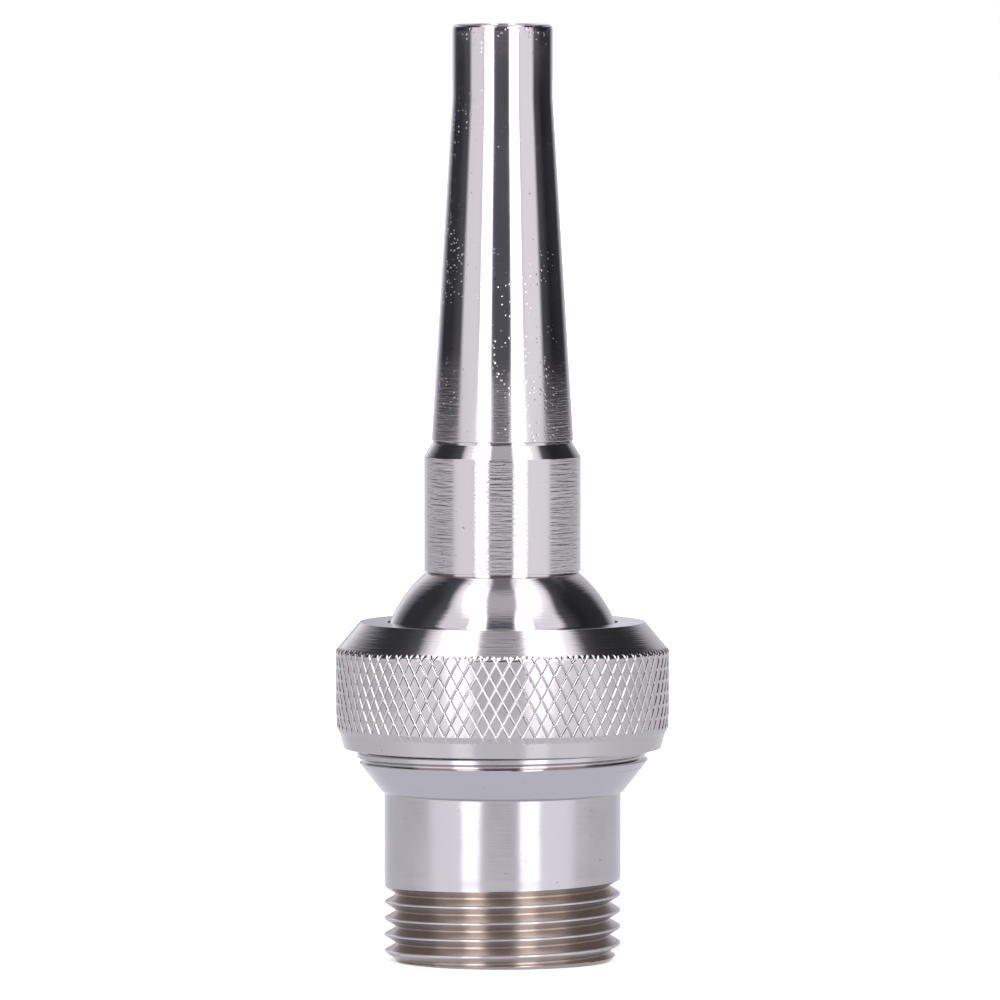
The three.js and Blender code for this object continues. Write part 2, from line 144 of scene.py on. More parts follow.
# Inlet body
PIPE_RADIUS = 33.249 / 2
PIPE_PITCH = 25.4 / 11
PIPE_DEPTH = 1.479
PIPE_FLATS = (0.1, 0.1)  # of root and crest, as shares of the pitch
PIPE_START = 0.2  # height of the lowest crest at +X
PIPE_TURNS = 4.1  # full groove
PIPE_RUN_OUT = 0.32  # turns over which the groove then leaves
PIPE_END = 12.7
PIPE_LEAD_IN = (1.5, 1.02)  # width of the chamfer at its start, and width over height
BARREL_OVER = 0.03  # radius of the barrel over the thread's
BARREL_EASE = 1.5  # height over which the thread's radius grows into the barrel's
BARREL_TOP = 23.7
SHOULDER = (0.42, 0.32)  # width and height of the step between barrel and cone
CONE_RISE = 1.27  # height over width of the cone
PILOT_CUT = 1.02  # radius of the plain top under the fine thread's
CAVITY_GAP = 0.35  # round the ball
BORE_RADIUS = 12.54
THROAT_RADIUS = 10.53
THROAT_DEPTHS = (1, 4)  # below the ledge, down to the end of the throat and of the cone under it

# Rings, vanes and clip
SEAT_BORE = 10.73
SEAL_REBATE = 1.96  # room for the seat's O-ring
BALL_GAP = 0.17
RING_GAP = 0.12
VANE_GAP = 0.12  # in the half-lap slots
WIRE_WIDTH = 1.5
CLIP_OPENING = math.radians(40)


# ---------------------------------------------------------------- shapes


def softened(outline, steps=3):
    """An outline of (radius, height, edge radius) points with its corners rounded, as (radius, height).

    A guard point beside each rounding keeps the shading of the flat next to it flat.
    """
    points = []
    count = len(outline)
    for i, (r, z, edge) in enumerate(outline):
        here = Vector((r, z))
        before = Vector(outline[i - 1][:2]) - here
        after = Vector(outline[(i + 1) % count][:2]) - here
        if edge <= 0:
            points.append((r, z))
            continue
        corner = before.angle(after)
        reach = min(edge / math.tan(corner / 2), before.length * 0.45, after.length * 0.45)
        start, end = here + before.normalized() * reach, here + after.normalized() * reach
        guard = min(reach * 0.6, before.length * 0.04, after.length * 0.04)
        points.append(tuple(start + before.normalized() * guard))
        for k in range(steps + 1):
            t = k / steps
            curve = start * (1 - t) ** 2 + here * 2 * t * (1 - t) + end * t**2
            points.append(tuple(curve))
        points.append(tuple(end + after.normalized() * guard))
    return points


def round_row(r, z):
    """Points round the axis. The last lies on the first and is welded to it later."""
    angles = [TAU * i / COLUMNS for i in range(COLUMNS + 1)]
    return [(r * math.cos(angle), r * math.sin(angle), z) for angle in angles]


def finish_mesh(name, made, crease=32):
    """Welds a bmesh in millimetres, drops slivers, marks crisp edges and makes the object in metres."""
    bmesh.ops.remove_doubles(made, verts=made.verts, dist=2e-4)
    bmesh.ops.dissolve_degenerate(made, edges=made.edges, dist=1e-4)
    bmesh.ops.recalc_face_normals(made, faces=made.faces)
    for face in made.faces:
        face.smooth = True
    for edge in made.edges:
        if len(edge.link_faces) == 2 and edge.calc_face_angle(0) > math.radians(crease):
            edge.smooth = False
    bmesh.ops.scale(made, vec=(MM, MM, MM), verts=made.verts)
    mesh = bpy.data.meshes.new(name)
    made.to_mesh(mesh)
    made.free()
    piece = bpy.data.objects.new(name, mesh)
    bpy.context.scene.collection.objects.link(piece)
    return piece


def add_skin(made, rows):
    """Adds quads between neighbouring rows of points."""
    placed = [[made.verts.new(point) for point in row] for row in rows]
    for one, two in zip(placed, placed[1:]):
        for i in range(len(one) - 1):
            made.faces.new([one[i], one[i + 1], two[i + 1], two[i]])


def turned(name, outline):
    """A closed outline spun round the axis."""
    made = bmesh.new()
    points = softened(outline)
    add_skin(made, [round_row(r, z) for r, z in [*points, points[0]]])
    return finish_mesh(name, made)


def open_rows(outline):
    """Rows of an open outline spun round the axis. Its two ends stay sharp."""
    closing = (0, 0, 0)
    return [round_row(r, z) for r, z in softened([closing, *outline, closing])[1:-1]]


def arc(centre_z, radius, start, end, steps):
    """Points of a ball's outline between two latitudes, in degrees."""
    made = []
    for i in range(steps + 1):
        angle = math.radians(start + (end - start) * i / steps)
        made.append((radius * math.cos(angle), centre_z + radius * math.sin(angle), 0))
    return made


def smooth_step(value, low, high):
    t = min(max((value - low) / (high - low), 0), 1)
    return t * t * (3 - 2 * t)


def groove(phase, flats):
    """Depth of a thread's groove, 0 at the crest and 1 at the root, with its corners a little rounded."""
    root, crest = flats
    away = 1 - abs(phase - round(phase)) * 2
    flank = min(max((away - root) / (1 - crest - root), 0), 1)
    return 1 - (0.8 * flank + 0.2 * smooth_step(flank, 0, 1))


def thread_rows(low, high, pitch, start, surface, per_pitch):
    """Rows that climb with a right-hand thread, held between two heights.

    surface(phase, turns, height) gives the radius: phase counts pitches across the thread, and turns
    counts along its groove. per_pitch is the number of rows to a pitch.
    """
    rows = []
    first = math.floor((low - start) / pitch * per_pitch) - per_pitch
    last = math.ceil((high - start) / pitch * per_pitch)
    for k in range(first, last + 1):
        phase = k / per_pitch
        row = []
        for i in range(COLUMNS + 1):
            share = i / COLUMNS
            height = min(max(start + (phase + share) * pitch, low), high)
            across = (height - start) / pitch - share
            radius = surface(across, math.floor(across) + share, height)
            row.append((radius * math.cos(TAU * share), radius * math.sin(TAU * share), height))
        rows.append(row)
    return rows


# ---------------------------------------------------------------- pieces


def jet_spout():
    return turned(
        "spout",
        [
            (SPIGOT_BORE, spout_low.z, 0.1),
            (SPIGOT_RADIUS, spout_low.z, 0.3),
            (SPIGOT_RADIUS, SPOUT_FOOT, 0.05),
            (SPOUT_FOOT_RADIUS, SPOUT_FOOT, 0.09),
            (TIP_RADIUS, TIP_Z - TIP_LENGTH, 0),
            (TIP_RADIUS, TIP_Z, 0.8),
            (JET_BORE, TIP_Z, 0.2),
            (JET_BORE, TIP_Z - TIP_LENGTH, 0),
            (SPIGOT_BORE, SPOUT_FOOT, 0),
        ],
    )


def swivel_ball():
    groove_radius = HUB_RADIUS - HUB_GROOVE[0]
    hub_latitude = math.degrees(math.acos(groove_radius / BALL_RADIUS))
    mouth_latitude = 90 - math.degrees(math.asin((BALL_BORE + MOUTH_CHAMFER) / BALL_RADIUS))
    hub_foot = BALL_Z + BALL_RADIUS * math.sin(math.radians(hub_latitude)) + HUB_GROOVE[1]
    neck_radius = SPOUT_FOOT_RADIUS - NECK_SET_BACK
    neck_top = SPOUT_FOOT - NECK_GAP
    socket_floor = spout_seal_low.z - SEAL_LIFT
    shoulder = vane_high.z + STRAIGHTENER_STOP[0]
    clip_groove = clip_high.y + RING_GAP
    clip_groove_low, clip_groove_high = clip_low.z - RING_GAP, clip_high.z + RING_GAP
    return turned(
        "ball_and_hub",
        [
            *arc(BALL_Z, BALL_RADIUS, -mouth_latitude, hub_latitude, 48),
            (groove_radius - 0.02, hub_foot - 0.02, 0.03),
            (HUB_RADIUS, hub_foot, 0.06),
            (HUB_RADIUS, HUB_TOP - HUB_CHAMFER, 0.1),
            (neck_radius, SPOUT_FOOT - NECK_HEIGHT, 0.08),
            (neck_radius - 0.02, neck_top, 0.02),
            (SOCKET_RADIUS, neck_top, 0.1),
            (SOCKET_RADIUS, socket_floor, 0.1),
            (SPIGOT_BORE, socket_floor, 0.1),
            (SPIGOT_BORE, shoulder + FUNNEL_HEIGHT, 0.3),
            (BALL_BORE - STRAIGHTENER_STOP[1], shoulder, 0.1),
            (BALL_BORE, shoulder, 0.1),
            (BALL_BORE, clip_groove_high, 0.05),
            (clip_groove, clip_groove_high, 0.05),
            (clip_groove, clip_groove_low, 0.05),
            (BALL_BORE, clip_groove_low, 0.05),
            (BALL_BORE, ball_low.z + MOUTH_CHAMFER, 0.1),
        ],
    )


def nut_outside(height):
    """Radius of the nut's turned outside at a height, before the knurl."""
    step_foot = NUT_FOOT + FOOT_RISE
    step_top = step_foot + FOOT_STEP
    chamfer_foot = NUT_TOP - NUT_CHAMFER[1]
    at_foot, at_step, at_knurl = SET_BACKS
    if height < step_foot:
        return NUT_RADIUS - at_foot + (at_foot - at_step) * (height - NUT_FOOT) / FOOT_RISE
    if height < step_top:
        return NUT_RADIUS - at_step + (at_step - at_knurl) * (height - step_foot) / FOOT_STEP
    if height < chamfer_foot:
        return NUT_RADIUS - at_knurl * (1 - smooth_step(height, step_top, step_top + KNURL_SWELL))
    return NUT_RADIUS - NUT_CHAMFER[0] * (height - chamfer_foot) / NUT_CHAMFER[1]


def knurl_patch(made, low, high):
    """The knurled band, built on the lattice of its grooves so that every diamond has crisp edges."""
    # Lattice lines of one groove: its bottom, four up its side, and the middle of the diamond beside it
    side = [KNURL_CUT * share for share in (0.2, 0.5, 0.8, 1)]
    lines = [0, *side, 0.5, *[1 - line for line in reversed(side)]]
    middle = (low + high) / 2
    reach = math.ceil((high - low) / 2 / KNURL_RISE) + 1
    corners = {}

    def corner(a, b):
        key = (round(a, 4), round(b, 4))
        if key not in corners:
            angle = (a + b) / 2 * TAU / KNURL_COUNT
            height = middle + (a - b) / 2 * KNURL_RISE
            x, y = NUT_RADIUS * math.cos(angle), NUT_RADIUS * math.sin(angle)
            corners[key] = made.verts.new((x, y, height))
        return corners[key]

    steps = list(zip(lines, [*lines[1:], 1]))
    for i in range(-reach, KNURL_COUNT + reach + 1):
        for j in range(-reach, KNURL_COUNT + reach + 1):
            if abs(i - j) > 2 * reach:
                continue
            for a0, a1 in steps:
                for b0, b1 in steps:
                    along = (i + j + (a0 + a1 + b0 + b1) / 2) / 2
                    if 0 <= along < KNURL_COUNT:
                        square = ((a0, b0), (a1, b0), (a1, b1), (a0, b1))
                        made.faces.new([corner(i + a, j + b) for a, b in square])
    bmesh.ops.remove_doubles(made, verts=made.verts, dist=1e-3)
    at_foot = [low + KNURL_ROW * k for k in range(1, 10)]
    at_chamfer = [high - KNURL_ROW * k for k in range(8, 0, -1)]
    for height in (low, *at_foot, *at_chamfer, high):
        bmesh.ops.bisect_plane(
            made,
            geom=[*made.verts, *made.edges, *made.faces],
            dist=1e-5,
            plane_co=(0, 0, height),
            plane_no=(0, 0, 1),
            clear_inner=height == low,
            clear_outer=height == high,
        )
    rng = random.Random(7)
    lean_left = [rng.uniform(0.88, 1.08) for _ in range(KNURL_COUNT)]
    lean_right = [rng.uniform(0.8, 1.08) for _ in range(KNURL_COUNT)]
    for vertex in made.verts:
        x, y, z = vertex.co
        around = math.atan2(y, x) / TAU * KNURL_COUNT
        rise = (z - middle) / KNURL_RISE
        depth = 0
        for line, depths, variety in (
            (around + rise, KNURL_DEPTHS[0], lean_left),
            (around - rise, KNURL_DEPTHS[1], lean_right),
        ):
            nearest = round(line)
            off = abs(line - nearest) / KNURL_CUT
            if off < 1:
                depth = max(depth, depths * variety[nearest % KNURL_COUNT] * (1 - off**KNURL_HOLLOW))
        from_foot = (z - low - KNURL_EDGE) / KNURL_RUN_OUT[0]
        from_chamfer = (high - KNURL_EDGE - z) / KNURL_RUN_OUT[1]
        radius = nut_outside(z) - depth * min(max(min(from_foot, from_chamfer), 0), 1)
        vertex.co.x, vertex.co.y = radius * x / math.hypot(x, y), radius * y / math.hypot(x, y)


def knurled_nut():
    made = bmesh.new()
    low, high = NUT_FOOT + KNURL_FOOT, NUT_TOP - NUT_CHAMFER[1] + KNURL_ON_CHAMFER
    knurl_patch(made, low, high)

    relief = NUT_THREAD_RADIUS + RELIEF[0]
    thread_bore = NUT_THREAD_RADIUS - NUT_THREAD_DEPTH + FEMALE_GAP
    thread_low, thread_high = NUT_FOOT + NUT_MOUTH[1], NUT_THREAD_TOP + FEMALE_TOP
    pocket = slip_high.y + RING_GAP
    pocket_foot = slip_low.z - RING_GAP
    lip_foot = slip_high.z + RING_GAP

    def thread_surface(phase, turns, height):
        return thread_bore + FEMALE_DEPTH * (1 - groove(phase, FEMALE_FLATS))

    top = open_rows(
        [
            (nut_outside(high + BRIDGE), high + BRIDGE, 0),
            (NUT_RADIUS - NUT_CHAMFER[0], NUT_TOP, 0.12),
            (LIP_RADIUS, NUT_TOP, 0.12),
            (LIP_RADIUS, NUT_TOP - LIP_FACE[1], 0.1),
            (LIP_RADIUS + LIP_FACE[0], lip_foot, 0.05),
            (pocket, lip_foot, 0.1),
            (pocket, pocket_foot, 0.1),
            (relief, pocket_foot - RELIEF[1], 0.1),
            (relief, thread_high + RELIEF[1], 0.1),
            (thread_bore, thread_high, 0),
        ]
    )
    thread = thread_rows(thread_low, thread_high, NUT_THREAD_PITCH, NUT_THREAD_START, thread_surface, 12)
    foot = open_rows(
        [
            (thread_bore, thread_low, 0),
            (NUT_THREAD_RADIUS + NUT_MOUTH[0], NUT_FOOT, 0.1),
            (nut_outside(NUT_FOOT), NUT_FOOT, 0.18),
            (nut_outside(low - BRIDGE), low - BRIDGE, 0),
        ]
    )
    for rows in (top, [top[-1], *reversed(thread), foot[0]], foot):
        add_skin(made, rows)
    bmesh.ops.remove_doubles(made, verts=made.verts, dist=2e-4)
    open_edges = [edge for edge in made.edges if edge.is_boundary]
    for end in (low, high):
        rims = [edge for edge in open_edges if abs(edge.verts[0].co.z - end) < 2 * BRIDGE]
        bmesh.ops.bridge_loops(made, edges=rims)
    return finish_mesh("nut", made, crease=24)


def inlet_body():
    made = bmesh.new()
    burr = random.Random(3)
    waves = [(burr.randint(9, 60), burr.uniform(0, TAU), burr.uniform(0.01, 0.035)) for _ in range(9)]
    barrel = PIPE_RADIUS + BARREL_OVER
    nut_thread_low, nut_thread_high = BARREL_TOP + NUT_THREAD_FOOT, NUT_THREAD_TOP - 0.02
    pilot = NUT_THREAD_RADIUS - PILOT_CUT
    cavity = BALL_RADIUS + CAVITY_GAP
    pocket = seat_high.y + RING_GAP
    ledge = seat_low.z - RING_GAP
    throat_foot, cone_foot = (ledge - depth for depth in THROAT_DEPTHS)

    def pipe_surface(phase, turns, height):
        """The crest is a little torn where the chamfer at the thread's start cuts it."""
        leaving = 1 - smooth_step(turns, PIPE_TURNS, PIPE_TURNS + PIPE_RUN_OUT)
        radius = PIPE_RADIUS + BARREL_OVER * smooth_step(height, PIPE_END - BARREL_EASE, PIPE_END)
        radius -= PIPE_DEPTH * leaving * groove(phase, PIPE_FLATS)
        ragged = sum(size * math.sin(count * turns * TAU + shift) for count, shift, size in waves)
        chamfer = PIPE_RADIUS - PIPE_LEAD_IN[0] + height * PIPE_LEAD_IN[1]
        return min(radius, chamfer + max(ragged, -0.02))

    def nut_thread_surface(phase, turns, height):
        cone = barrel + SHOULDER[0] + (height - BARREL_TOP - SHOULDER[1]) / CONE_RISE
        past = max(0, height - NUT_THREAD_TOP + NUT_THREAD_LEAD_IN[0])
        chamfer = NUT_THREAD_RADIUS - past * NUT_THREAD_LEAD_IN[1]
        return min(NUT_THREAD_RADIUS - NUT_THREAD_DEPTH * groove(phase, MALE_FLATS), cone, chamfer)

    pipe = thread_rows(0, PIPE_END, PIPE_PITCH, PIPE_START, pipe_surface, 20)
    nut_thread = thread_rows(
        nut_thread_low, nut_thread_high, NUT_THREAD_PITCH, NUT_THREAD_START, nut_thread_surface, 16
    )
    outside = open_rows(
        [
            (barrel, PIPE_END, 0),
            (barrel, BARREL_TOP, 0.1),
            (barrel + SHOULDER[0], BARREL_TOP + SHOULDER[1], 0.1),
            (nut_thread_surface(0, 0, nut_thread_low), nut_thread_low, 0),
        ]
    )
    within = open_rows(
        [
            (pilot + 0.05, nut_thread_high, 0),
            (pilot, nut_thread_high + 0.05, 0.05),
            (pilot, body_high.z, 0.3),
            (cavity, body_high.z, 0.2),
            (cavity, seat_high.z, 0.1),
            (pocket, seat_high.z, 0.1),
            (pocket, ledge, 0.1),
            (THROAT_RADIUS, ledge, 0.15),
            (THROAT_RADIUS, throat_foot, 0.3),
            (BORE_RADIUS, cone_foot, 0.5),
            (BORE_RADIUS, 0, 0.25),
            (PIPE_RADIUS - PIPE_LEAD_IN[0], 0, 0),
        ]
    )
    for rows in ([within[-1], *pipe, outside[0]], outside, [outside[-1], *nut_thread, within[0]], within):
        add_skin(made, rows)
    return finish_mesh("inlet", made)


def finish_and_shade_pipe_thread(inlet, finish):
    """Gives the flanks and roots of the pipe thread, but not its crests, a finish of their own. Its darker
    colour is painted shade in the grooves.
    """
    inlet.data.materials.append(finish)
    margin = 0.1
    root, crest = PIPE_RADIUS - PIPE_DEPTH - margin, PIPE_RADIUS - margin
    # These faces take the darker colour: painted shade in the thread's grooves.
    for face in inlet.data.polygons:
        radius = math.hypot(face.center.x, face.center.y) / MM
        if face.center.z / MM < PIPE_END and root < radius < crest:
            face.material_index = 1


def ball_seat_ring():
    touch = BALL_RADIUS + BALL_GAP
    outer, rebate = seat_high.y, seat_high.y - SEAL_REBATE
    low = -math.degrees(math.acos(SEAT_BORE / touch))
    high = -math.degrees(math.asin((BALL_Z - seat_high.z) / touch))
    return turned(
        "seat_ring",
        [
            (SEAT_BORE, seat_low.z, 0.15),
            (rebate, seat_low.z, 0.1),
            (rebate, seat_low.z + SEAL_REBATE, 0.05),
            (outer, seat_low.z + SEAL_REBATE, 0.1),
            (outer, seat_high.z, 0.15),
            *arc(BALL_Z, touch, high, low, 12),
        ],
    )


def upper_slip_ring():
    touch = BALL_RADIUS + BALL_GAP
    low, high = (math.degrees(math.asin((z - BALL_Z) / touch)) for z in (slip_low.z, slip_high.z))
    outer = slip_high.y
    back = [(outer, slip_low.z, 0.15), (outer, slip_high.z, 0.15)]
    return turned("slip_ring", [*back, *arc(BALL_Z, touch, high, low, 12)])


def o_ring(name, cad_node):
    low, high = low_high(cad_node)
    cord = (high.z - low.z) / 2
    centre_r, centre_z = high.y - cord, low.z + cord
    steps = 24
    angles = [TAU * k / steps for k in range(steps)]
    circle = [(centre_r + cord * math.cos(angle), centre_z + cord * math.sin(angle), 0) for angle in angles]
    return turned(name, circle)


def vane(name, slot_at_top, along):
    """One plate of the straightener, blanked from sheet, with its half-lap slot."""
    half, low, high = vane_high.x, vane_low.z, vane_high.z
    thick = vane_high.y
    slot = thick + VANE_GAP
    middle = (low + high) / 2 + (-VANE_GAP if slot_at_top else VANE_GAP)
    end = high if slot_at_top else low
    notch = [(slot, end), (slot, middle), (-slot, middle), (-slot, end)]
    outline = [(-half, low), (half, low), (half, high), *notch, (-half, high)]
    if not slot_at_top:
        outline = [(-half, low), *reversed(notch), (half, low), (half, high), (-half, high)]
    made = bmesh.new()
    front = [made.verts.new((x, -thick, z)) for x, z in outline]
    face = made.faces.new(front)
    pushed = bmesh.ops.extrude_face_region(made, geom=[face])
    moved = [v for v in pushed["geom"] if isinstance(v, bmesh.types.BMVert)]
    bmesh.ops.translate(made, vec=(0, 2 * thick, 0), verts=moved)
    bmesh.ops.rotate(made, cent=(0, 0, 0), matrix=Matrix.Rotation(along, 3, "Z"), verts=made.verts)
    bmesh.ops.bevel(made, geom=made.edges[:], offset=0.08, segments=2, affect="EDGES")
    return finish_mesh(name, made)


def straightener_clip():
    """A snap ring of flat wire, open at one side, with rounded edges."""
    outer = clip_high.y
    inner = outer - WIRE_WIDTH
    low, high = clip_low.z, clip_high.z
    section = softened([(inner, low, 0.12), (outer, low, 0.12), (outer, high, 0.12), (inner, high, 0.12)])
    steps = 96
    made = bmesh.new()
    rings = []
    for k in range(steps + 1):
        angle = CLIP_OPENING / 2 + (TAU - CLIP_OPENING) * k / steps
        rings.append([made.verts.new((r * math.cos(angle), r * math.sin(angle), z)) for r, z in section])
    for one, two in zip(rings, rings[1:]):
        for i in range(len(section)):
            j = (i + 1) % len(section)
            made.faces.new([one[i], one[j], two[j], two[i]])
    made.faces.new(rings[0])
    made.faces.new(list(reversed(rings[-1])))
    return finish_mesh("snap_ring", made)


# ---------------------------------------------------------------- materials


def linear(colour):
    """An sRGB '#rrggbb' colour as linear red, green, blue and alpha."""
    shares = [int(colour[i : i + 2], 16) / 255 for i in (1, 3, 5)]
    return (*[s / 12.92 if s <= 0.04045 else ((s + 0.055) / 1.055) ** 2.4 for s in shares], 1)


def node(tree, kind, inputs=None, **settings):
    """Adds a node with its settings. An input is a value, an output to link, or a node whose first
    output is linked."""
    made = tree.nodes.new(kind)
    for name, value in settings.items():
        setattr(made, name, value)
    for socket, value in (inputs or {}).items():
        if isinstance(value, bpy.types.Node):
            value = value.outputs[0]
        if isinstance(value, bpy.types.NodeSocket):
            tree.links.new(value, made.inputs[socket])
        else:
            made.inputs[socket].default_value = value
    return made


def new_material(name):
    material = bpy.data.materials.new(name)
    material.use_nodes = True
    tree = material.node_tree
    tree.nodes.clear()
    return material, tree


def turned_steel(
    name, roughness, spread, mark_spacing, mark_depth, hue="#d3ccc8", fade=None, unpolished=0.0, dents=0.0
):
    """Stainless steel off the lathe. It shows rings of tool marks, a gloss that is drawn out across
    them, a few dark pits and, on a polished piece, small dents that glint.

    Spacing and depths are in millimetres. spread is the share by which the marks draw out the gloss.
    fade gives two heights between which the marks die away, and unpolished is what they add to the
    roughness. dents is the depth of the dents.
    """
    material, tree = new_material(name)
    place = node(tree, "ShaderNodeTexCoord").outputs["Object"]
    flat = node(tree, "ShaderNodeVectorMath", {0: place, 1: (1, 1, 0)}, operation="MULTIPLY")
    radius = node(tree, "ShaderNodeVectorMath", {0: flat}, operation="LENGTH").outputs["Value"]
    height = node(tree, "ShaderNodeSeparateXYZ", {0: place}).outputs[2]

    # Tool marks run round the piece and break up after about 5 mm. Real ones are 0.1 mm apart or less,
    # so most are drawn two or three times as coarse, to show. Counting them down the radius as well as up
    # the height makes rings on flat ends too.
    across = node(tree, "ShaderNodeMath", {0: radius, 1: -0.6, 2: height}, operation="MULTIPLY_ADD")
    across = node(tree, "ShaderNodeMath", {0: across, 1: 1 / (mark_spacing * MM)}, operation="MULTIPLY")
    along = node(tree, "ShaderNodeVectorMath", {0: flat, "Scale": 1 / (5 * MM)}, operation="SCALE")
    lifted = node(tree, "ShaderNodeCombineXYZ", {2: across})
    ringwise = node(tree, "ShaderNodeVectorMath", {0: along, 1: lifted}, operation="ADD")
    fine = {"Vector": ringwise, "Scale": 1.0, "Detail": 2.0, "Roughness": 0.6}
    relief = node(tree, "ShaderNodeTexNoise", fine)
    if fade:
        start, end = fade
        ramp = {"Value": height, "From Min": start * MM, "From Max": end * MM, "To Min": 1.0, "To Max": 0.06}
        kept = node(tree, "ShaderNodeMapRange", ramp, interpolation_type="SMOOTHSTEP")
        relief = node(tree, "ShaderNodeMath", {0: relief, 1: kept}, operation="MULTIPLY")
    bump = node(tree, "ShaderNodeBump", {"Strength": 1.0, "Distance": mark_depth * MM, "Height": relief})

    if dents:
        # Dents are up to 0.3 mm wide, in loose clusters about 11 mm apart.
        cell = node(tree, "ShaderNodeTexVoronoi", {"Vector": place, "Scale": 1 / (0.55 * MM)})
        draw = node(tree, "ShaderNodeSeparateColor", {0: cell.outputs["Color"]})
        loose = {"Vector": place, "W": 1.7, "Scale": 0.09 / MM, "Detail": 1.0}
        crowd = node(tree, "ShaderNodeTexNoise", loose, noise_dimensions="4D")
        ramp = {"Value": crowd, "From Min": 0.4, "From Max": 0.62, "To Min": 0.0, "To Max": 0.5}
        largest = node(tree, "ShaderNodeMapRange", ramp)
        size = node(tree, "ShaderNodeMath", {0: largest, 1: draw}, operation="MULTIPLY")
        past_rim = node(tree, "ShaderNodeMath", {0: cell.outputs["Distance"], 1: size}, operation="SUBTRACT")
        ramp = {"Value": past_rim, "From Min": -0.3, "From Max": 0.0, "To Min": 0.0, "To Max": 1.0}
        hollow = node(tree, "ShaderNodeMapRange", ramp, interpolation_type="SMOOTHSTEP")
        dent = {"Strength": 1.0, "Distance": dents * MM, "Height": hollow, "Normal": bump}
        bump = node(tree, "ShaderNodeBump", dent)

    # The gloss changes a little from place to place, over about 6 mm.
    cloud = node(tree, "ShaderNodeTexNoise", {"Vector": place, "Scale": 0.16 / MM, "Detail": 4.0})
    least, most = max(roughness - 0.03, 0.02), roughness + 0.03
    ramp = {"Value": cloud, "From Min": 0.3, "From Max": 0.7, "To Min": least, "To Max": most}
    gloss = node(tree, "ShaderNodeMapRange", ramp)
    if unpolished:
        gloss = node(tree, "ShaderNodeMath", {0: kept, 1: unpolished, 2: gloss}, operation="MULTIPLY_ADD")

    # Pits are 0.1 to 0.3 mm wide.
    speck = node(tree, "ShaderNodeTexNoise", {"Vector": place, "Scale": 1.5 / MM, "Detail": 1.0})
    ramp = {"Value": speck, "From Min": 0.76, "From Max": 0.82, "To Min": 0.0, "To Max": 0.7}
    pit = node(tree, "ShaderNodeMapRange", ramp)
    tone = node(tree, "ShaderNodeMix", {0: pit, 6: linear(hue), 7: linear("#4a4542")}, data_type="RGBA")

    tangent = node(tree, "ShaderNodeTangent", direction_type="RADIAL", axis="Z")
    steel = node(
        tree,
        "ShaderNodeBsdfPrincipled",
        {
            "Base Color": tone.outputs[2],
            "Metallic": 1.0,
            "Roughness": gloss,
            "Anisotropic": spread,
            "Anisotropic Rotation": 0.25,
            "Tangent": tangent,
            "Normal": bump,
        },
    )
    node(tree, "ShaderNodeOutputMaterial", {"Surface": steel})
    return material


def plain_finish(name, hue, roughness, grain_size, grain_depth, metallic=0.0):
    """A moulded or sheet finish: one colour, with a fine grain that breaks the gloss. The grain's size
    and depth are in millimetres."""
    material, tree = new_material(name)
    place = node(tree, "ShaderNodeTexCoord").outputs["Object"]
    grain = node(tree, "ShaderNodeTexNoise", {"Vector": place, "Scale": 1 / (grain_size * MM), "Detail": 3.0})
    least, most = roughness - 0.08, roughness + 0.08
    ramp = {"Value": grain, "From Min": 0.3, "From Max": 0.7, "To Min": least, "To Max": most}
    gloss = node(tree, "ShaderNodeMapRange", ramp)
    bump = node(tree, "ShaderNodeBump", {"Strength": 1.0, "Distance": grain_depth * MM, "Height": grain})
    finish = {"Base Color": linear(hue), "Metallic": metallic, "Roughness": gloss, "Normal": bump}
    surface = node(tree, "ShaderNodeBsdfPrincipled", finish)
    node(tree, "ShaderNodeOutputMaterial", {"Surface": surface})
    return material


def polished_stainless():
    """Spout: stainless steel turned, then polished from the tip down. It mirrors the studio sharply, has
    a few knocks that glint, and keeps its turning marks and a duller gloss at the foot."""
    return turned_steel(
        "polished_stainless",
        roughness=0.07,
        spread=0.3,
        mark_spacing=0.26,
        mark_depth=0.026,
        fade=(73, 90),
        unpolished=0.16,
        dents=0.03,
    )


def fine_turned_stainless():
    """Ball and hub: a fine finishing cut. Its rings draw each highlight out and fray its edges."""
    return turned_steel(
        "fine_turned_stainless", roughness=0.1, spread=0.5, mark_spacing=0.34, mark_depth=0.02
    )


def knurled_stainless():
    """Nut: a turned chamfer with rings that show, over rolled diamonds that stay smooth."""
    return turned_steel(
        "knurled_stainless", roughness=0.12, spread=0.5, mark_spacing=0.3, mark_depth=0.03, fade=(44.2, 43.4)
    )


def satin_stainless():
    """Inlet body: turned with a fine feed to a soft, even gloss."""
    return turned_steel(
        "satin_stainless", roughness=0.14, spread=0.5, mark_spacing=0.2, mark_depth=0.004, hue="#d1cccb"
    )


def cut_thread_steel_painted_shade():
    """Pipe thread: flanks as the thread tool left them, rough along the cut. Their darker, browner colour
    is painted shade in the thread's grooves. They draw each highlight out over the whole flank."""
    return turned_steel(
        # The darker, browner hue is painted shade in the thread's grooves.
        "cut_thread_steel_painted_shade", roughness=0.33, spread=1.0, mark_spacing=0.15, mark_depth=0.012, hue="#c3b5a9"
    )


def sheet_stainless():
    """Vanes: blanked from cold rolled sheet, which has a dull grey skin."""
    return plain_finish(
        "sheet_stainless", "#bdbbbe", roughness=0.38, grain_size=0.08, grain_depth=0.002, metallic=1.0
    )


def spring_stainless():
    """Snap ring: drawn and flattened spring wire, a little darker than the rest."""
    return plain_finish(
        "spring_stainless", "#a9a8aa", roughness=0.34, grain_size=0.06, grain_depth=0.002, metallic=1.0
    )


def skived_ptfe():
    """Seat and slip ring: white PTFE turned from rod, waxy and not quite smooth."""
    return plain_finish("skived_ptfe", "#efede6", roughness=0.45, grain_size=0.15, grain_depth=0.004)


def moulded_nbr():
    """O-rings: black nitrile rubber from the mould, dull with a light bloom."""
    return plain_finish("moulded_nbr", "#17171a", roughness=0.55, grain_size=0.05, grain_depth=0.003)


# ---------------------------------------------------------------- studio

